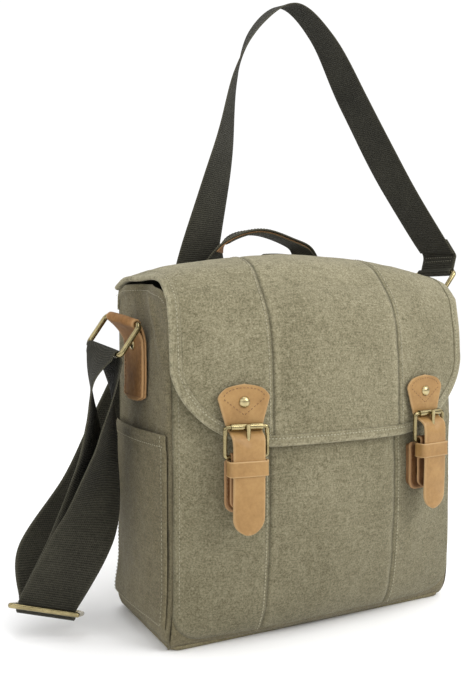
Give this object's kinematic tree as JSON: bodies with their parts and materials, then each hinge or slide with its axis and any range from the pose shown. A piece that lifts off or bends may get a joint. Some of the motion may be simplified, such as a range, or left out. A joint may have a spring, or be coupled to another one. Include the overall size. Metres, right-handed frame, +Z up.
{
  "type": "messenger bag",
  "caption": "Canvas messenger bag with a rounded front flap, buckled leather closures, side rings, adjustable shoulder strap, carry handle and side pockets.",
  "frame": {"origin": "centre of the base, on its underside", "axes": "+Z up, +X to the right seen from the front, the flap and closures face -Y"},
  "size_m": [0.4522, 0.2458, 0.6276],
  "materials": {
    "canvas": "washed olive-grey cotton canvas",
    "webbing": "dark olive-grey cotton webbing",
    "leather": "tan waxed leather",
    "brass": "antique brass",
    "lining": "plain cotton lining",
    "board": "stiff base board"
  },
  "bodies": {
    "root": {"front_panel_left": "canvas", "front_panel_center": "canvas", "front_panel_right": "canvas", "back_panel": "canvas", "side_gusset_left": "canvas", "side_gusset_right": "canvas", "bottom_panel": "canvas", "side_pocket_left": "canvas", "side_pocket_right": "canvas", "mouth_hem": "canvas", "lining": "lining", "base_board": "board", "divider": "lining", "base_patch_left": "leather", "base_patch_right": "leather", "snap_sockets": "brass", "side_tab_left": "leather", "side_tab_right": "leather", "side_tab_rivets": "brass", "handle_anchors": "webbing", "hang_loop": "webbing", "strap_rear_upper": "webbing"},
    "ring_left": {"ring_left": "brass", "strap_return": "webbing", "strap_sewn_end": "webbing", "strap_rear_lower": "webbing"},
    "slider": {"slider": "brass"},
    "ring_right": {"ring_right": "brass", "strap_end_right": "webbing"},
    "strap_arch": {"strap_arch": "webbing"},
    "handle": {"handle_webbing": "webbing", "handle_leather": "leather"},
    "flap_top": {"flap_top_left": "canvas", "flap_top_center": "canvas", "flap_top_right": "canvas", "flap_top_lining": "lining", "flap_top_binding": "canvas"},
    "flap_front": {"flap_front_left": "canvas", "flap_front_center": "canvas", "flap_front_right": "canvas", "flap_front_lining": "lining", "flap_front_binding": "canvas", "billet_anchor_left": "leather", "billet_anchor_right": "leather", "billet_rivets": "brass"},
    "closure_left": {"billet_tail_left": "leather", "buckle_frame_left": "brass", "chape_left": "leather", "snap_cap_left": "brass"},
    "roller_left": {"roller_left": "brass"},
    "prong_left": {"prong_left": "brass"},
    "keeper_left": {"keeper_left": "leather"},
    "closure_right": {"billet_tail_right": "leather", "buckle_frame_right": "brass", "chape_right": "leather", "snap_cap_right": "brass"},
    "roller_right": {"roller_right": "brass"},
    "prong_right": {"prong_right": "brass"},
    "keeper_right": {"keeper_right": "leather"}
  },
  "joints": [
    {"name": "flap_open", "type": "hinge", "parent": "root", "child": "flap_top", "pos_m": [0, 0.062, 0.301], "axis": [-1, 0, 0], "range_deg": [0, 54]},
    {"name": "flap_fold", "type": "hinge", "parent": "flap_top", "child": "flap_front", "pos_m": [0, -0.07, 0.306], "axis": [-1, 0, 0], "range_deg": [0, 45]},
    {"name": "closure_lift_left", "type": "hinge", "parent": "flap_front", "child": "closure_left", "pos_m": [-0.095, -0.09715, 0.1915], "axis": [-0.9903, 0.1392, 0], "range_deg": [0, 75]},
    {"name": "roller_spin_left", "type": "hinge", "parent": "closure_left", "child": "roller_left", "pos_m": [-0.095, -0.09715, 0.1915], "axis": [0.9903, -0.1392, 0], "continuous": true},
    {"name": "prong_lift_left", "type": "hinge", "parent": "closure_left", "child": "prong_left", "pos_m": [-0.095, -0.09715, 0.16732], "axis": [0.9903, -0.1392, 0], "range_deg": [0, 45]},
    {"name": "keeper_slide_left", "type": "slide", "parent": "closure_left", "child": "keeper_left", "axis": [0, 0, -1], "range_m": [0, 0.0055]},
    {"name": "closure_lift_right", "type": "hinge", "parent": "flap_front", "child": "closure_right", "pos_m": [0.095, -0.09715, 0.1915], "axis": [-0.9903, -0.1392, 0], "range_deg": [0, 75]},
    {"name": "roller_spin_right", "type": "hinge", "parent": "closure_right", "child": "roller_right", "pos_m": [0.095, -0.09715, 0.1915], "axis": [0.9903, 0.1392, 0], "continuous": true},
    {"name": "prong_lift_right", "type": "hinge", "parent": "closure_right", "child": "prong_right", "pos_m": [0.095, -0.09715, 0.16732], "axis": [0.9903, 0.1392, 0], "range_deg": [0, 45]},
    {"name": "keeper_slide_right", "type": "slide", "parent": "closure_right", "child": "keeper_right", "axis": [0, 0, -1], "range_m": [0, 0.0055]},
    {"name": "ring_left_swing", "type": "hinge", "parent": "root", "child": "ring_left", "pos_m": [-0.166, -0.001, 0.277], "axis": [-0.172, 0.9752, 0.1392], "range_deg": [0, 25]},
    {"name": "slider_tilt", "type": "hinge", "parent": "ring_left", "child": "slider", "pos_m": [-0.23, 0.021, 0.024], "axis": [0.8744, -0.4649, -0.1392], "range_deg": [-12, 12]},
    {"name": "ring_right_swing", "type": "hinge", "parent": "root", "child": "ring_right", "pos_m": [0.166, -0.001, 0.3], "axis": [0, 1, 0], "range_deg": [-4, 8]},
    {"name": "strap_swing", "type": "hinge", "parent": "root", "child": "strap_arch", "pos_m": [0.065, 0.0445, 0.329], "axis": [-0.9309, 0.3519, -0.0984], "range_deg": [-5, 30]},
    {"name": "handle_fold", "type": "hinge", "parent": "root", "child": "handle", "pos_m": [0.012, 0.071, 0.303], "axis": [-1, 0, 0], "range_deg": [-45, 8]}
  ],
  "couplings": [
    {"joint": "flap_fold", "follows": "flap_open", "ratio": 0.8332}
  ]
}
